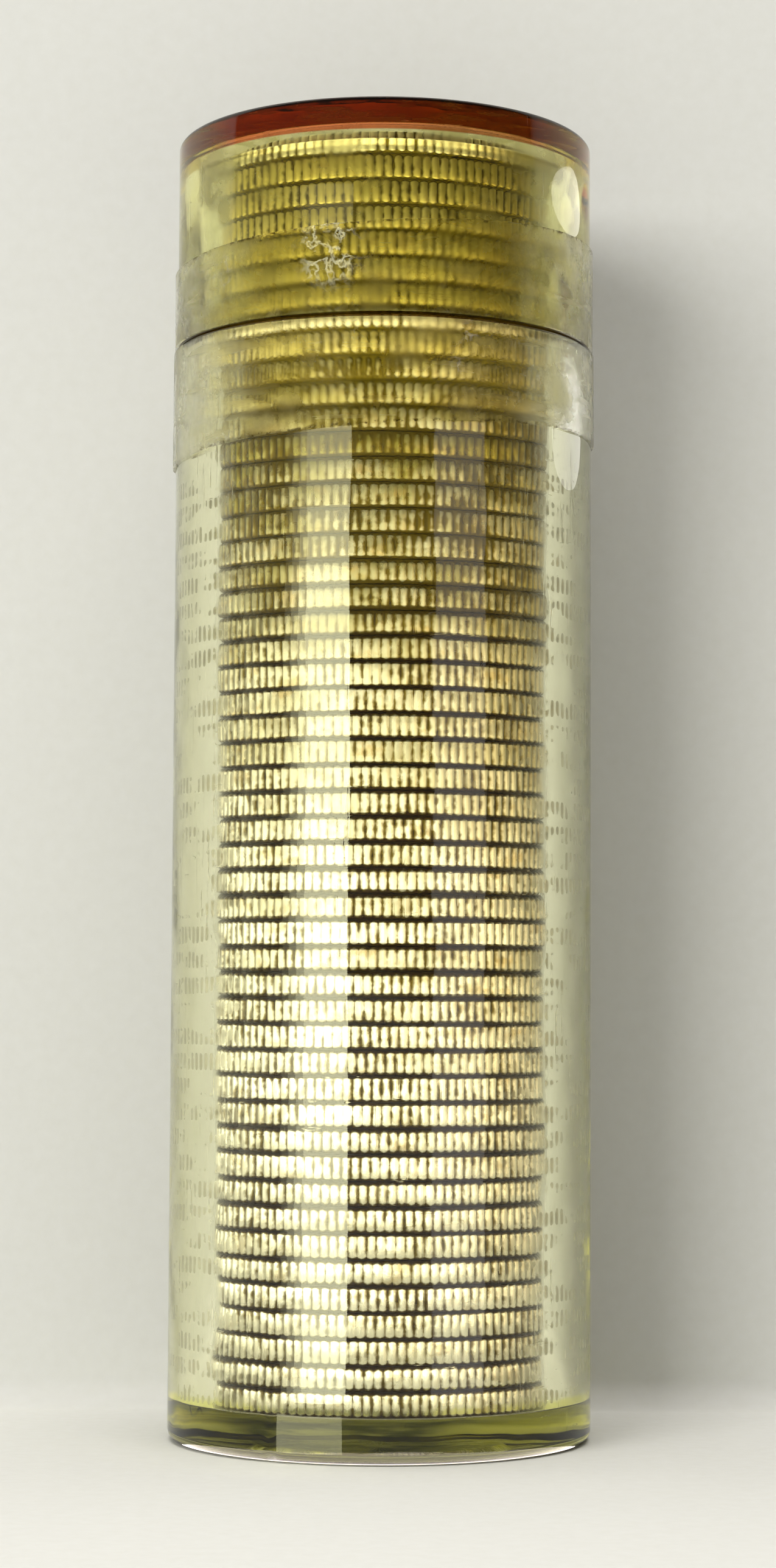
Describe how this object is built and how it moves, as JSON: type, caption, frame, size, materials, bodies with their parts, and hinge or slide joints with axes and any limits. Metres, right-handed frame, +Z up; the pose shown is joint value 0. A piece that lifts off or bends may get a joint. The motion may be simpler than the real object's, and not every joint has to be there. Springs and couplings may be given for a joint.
{
  "type": "coin tube",
  "caption": "Round clear plastic coin tube with a slip-on cap, sealed round the seam with aged clear tape and filled with a stack of small reeded coins.",
  "frame": {"origin": "middle of the base, on the plane that the tube stands on", "axes": "+Z up the tube's axis towards the cap; the picture looks along +Y with +X to the right"},
  "size_m": [0.0232, 0.0234, 0.071],
  "materials": {
    "clear_plastic": "gloss",
    "amber_plastic": "gloss",
    "aged_tape": "satin",
    "coin_metal": "satin"
  },
  "bodies": {
    "tube": {"tube_body": "clear_plastic", "tube_tape": "aged_tape"},
    "coin_stack": {"coin_01": "coin_metal", "coin_02": "coin_metal", "coin_03": "coin_metal", "coin_04": "coin_metal", "coin_05": "coin_metal", "coin_06": "coin_metal", "coin_07": "coin_metal", "coin_08": "coin_metal", "coin_09": "coin_metal", "coin_10": "coin_metal", "coin_11": "coin_metal", "coin_12": "coin_metal", "coin_13": "coin_metal", "coin_14": "coin_metal", "coin_15": "coin_metal", "coin_16": "coin_metal", "coin_17": "coin_metal", "coin_18": "coin_metal", "coin_19": "coin_metal", "coin_20": "coin_metal", "coin_21": "coin_metal", "coin_22": "coin_metal", "coin_23": "coin_metal", "coin_24": "coin_metal", "coin_25": "coin_metal", "coin_26": "coin_metal", "coin_27": "coin_metal", "coin_28": "coin_metal", "coin_29": "coin_metal", "coin_30": "coin_metal", "coin_31": "coin_metal", "coin_32": "coin_metal", "coin_33": "coin_metal", "coin_34": "coin_metal", "coin_35": "coin_metal", "coin_36": "coin_metal", "coin_37": "coin_metal", "coin_38": "coin_metal", "coin_39": "coin_metal", "coin_40": "coin_metal", "coin_41": "coin_metal", "coin_42": "coin_metal", "coin_43": "coin_metal", "coin_44": "coin_metal", "coin_45": "coin_metal", "coin_46": "coin_metal", "coin_47": "coin_metal", "coin_48": "coin_metal", "coin_49": "coin_metal", "coin_50": "coin_metal"},
    "cap": {"cap": "amber_plastic", "cap_tape": "aged_tape"}
  },
  "joints": [
    {"name": "coin_stack_slide", "type": "slide", "parent": "tube", "child": "coin_stack", "axis": [0, 0, 1], "range_m": [0, 0.07]},
    {"name": "cap_slide", "type": "slide", "parent": "coin_stack", "child": "cap", "axis": [0, 0, 1], "range_m": [0, 0.025]}
  ]
}
